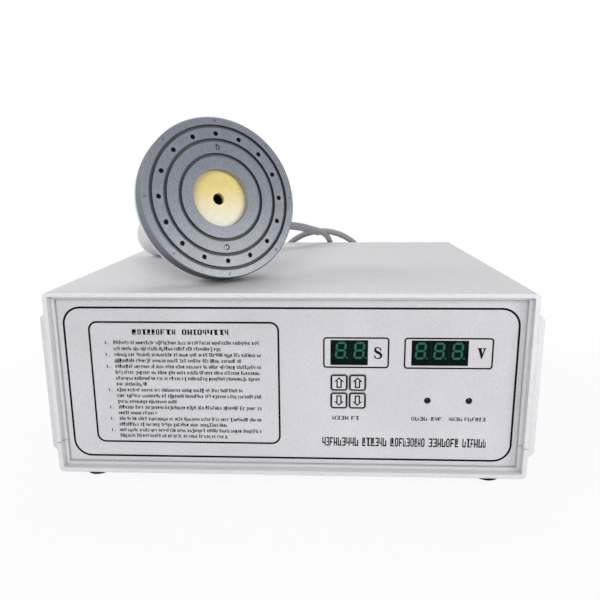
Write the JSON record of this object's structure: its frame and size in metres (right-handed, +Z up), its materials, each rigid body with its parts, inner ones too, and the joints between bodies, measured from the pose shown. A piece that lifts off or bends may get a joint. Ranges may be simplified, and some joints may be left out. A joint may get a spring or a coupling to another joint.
{
  "type": "induction cap sealer",
  "caption": "Hand-held induction cap sealer: a low grey desk case with a recessed silver control panel, and a round grooved sealing head with a handle that rests on top and is joined by a lead.",
  "frame": {"origin": "on the table under the middle of the case", "axes": "+X to the right seen from the front, +Y to the rear, +Z up"},
  "size_m": [0.295, 0.2885, 0.2188],
  "materials": {
    "case_plastic": "fine moulded texture",
    "panel_plate": "plain sheet",
    "silver_film": "printed silver film",
    "foot_rubber": "matt",
    "screw_steel": "zinc plated",
    "circuit_board": "solder resist",
    "display_black": "smooth",
    "amber_lens": "clear tinted",
    "red_lens": "clear tinted",
    "black_plastic": "moulded",
    "sink_aluminium": "extruded",
    "can_sleeve": "shrunk sleeve",
    "film_box": "moulded box",
    "copper_wire": "enamelled",
    "core_iron": "laminated",
    "fuse_glass": "clear",
    "gland_nylon": "moulded",
    "face_plastic": "turned, slightly shiny",
    "laminate": "epoxy glass",
    "trigger_red": "moulded",
    "lead_sheath": "smooth sheath"
  },
  "bodies": {
    "case": {"cover_shell": "case_plastic", "base_shell": "case_plastic", "front_panel": "panel_plate", "panel_film": "silver_film", "rear_panel": "panel_plate", "rubber_feet": "foot_rubber", "case_screws": "screw_steel", "display_board": "circuit_board", "panel_spacers": "screw_steel", "display_screws": "screw_steel", "time_display": "display_black", "voltage_display": "display_black", "overheat_lamp": "amber_lens", "overcurrent_lamp": "red_lens", "tact_switches": "black_plastic", "buzzer": "black_plastic", "power_board": "circuit_board", "board_screws": "screw_steel", "heat_sink": "sink_aluminium", "power_transistors": "black_plastic", "bridge_rectifier": "black_plastic", "filter_capacitor": "can_sleeve", "film_capacitors": "film_box", "choke": "copper_wire", "control_transformer": "core_iron", "fan_frame": "black_plastic", "fan_screws": "screw_steel", "switch_body": "black_plastic", "mains_inlet": "black_plastic", "inlet_pins": "screw_steel", "fuse_holder": "black_plastic", "fuse_link": "fuse_glass", "fuse_cap": "black_plastic", "lead_gland": "gland_nylon", "gland_locknut": "gland_nylon", "head_face": "face_plastic", "centre_disc": "laminate", "head_winding": "black_plastic", "winding_former": "laminate", "ferrite_bars": "core_iron", "rear_cover": "case_plastic", "face_screws": "screw_steel", "handle": "case_plastic", "trigger_spring": "screw_steel", "trigger_switch": "black_plastic", "strain_relief": "lead_sheath", "lead_sleeve": "lead_sheath", "lead_upper": "lead_sheath", "lead_hank": "lead_sheath", "lead_lower": "lead_sheath", "hank_ties": "black_plastic"},
    "tens_up_key": {"tens_up_key": "silver_film"},
    "units_up_key": {"units_up_key": "silver_film"},
    "tens_down_key": {"tens_down_key": "silver_film"},
    "units_down_key": {"units_down_key": "silver_film"},
    "trigger": {"trigger_button": "trigger_red"},
    "power_rocker": {"switch_rocker": "black_plastic"},
    "fan_wheel": {"fan_rotor": "black_plastic"}
  },
  "joints": [
    {"name": "tens_up_key_press", "type": "slide", "parent": "case", "child": "tens_up_key", "axis": [0, 1, 0], "range_m": [0, 0.0004], "stiffness_N_per_m": 1500},
    {"name": "units_up_key_press", "type": "slide", "parent": "case", "child": "units_up_key", "axis": [0, 1, 0], "range_m": [0, 0.0004], "stiffness_N_per_m": 1500},
    {"name": "tens_down_key_press", "type": "slide", "parent": "case", "child": "tens_down_key", "axis": [0, 1, 0], "range_m": [0, 0.0004], "stiffness_N_per_m": 1500},
    {"name": "units_down_key_press", "type": "slide", "parent": "case", "child": "units_down_key", "axis": [0, 1, 0], "range_m": [0, 0.0004], "stiffness_N_per_m": 1500},
    {"name": "trigger_press", "type": "slide", "parent": "case", "child": "trigger", "axis": [0.1382, -0.2111, -0.9676], "range_m": [0, 0.0025], "stiffness_N_per_m": 400, "springref_m": -0.003, "deforming": ["trigger_spring"]},
    {"name": "rocker_tip", "type": "hinge", "parent": "case", "child": "power_rocker", "pos_m": [0.092, 0.1127, 0.058], "axis": [-1, 0, 0], "range_deg": [0, 18]},
    {"name": "fan_spin", "type": "hinge", "parent": "case", "child": "fan_wheel", "pos_m": [-0.086, 0.1008, 0.065], "axis": [0, 1, 0], "continuous": true}
  ]
}
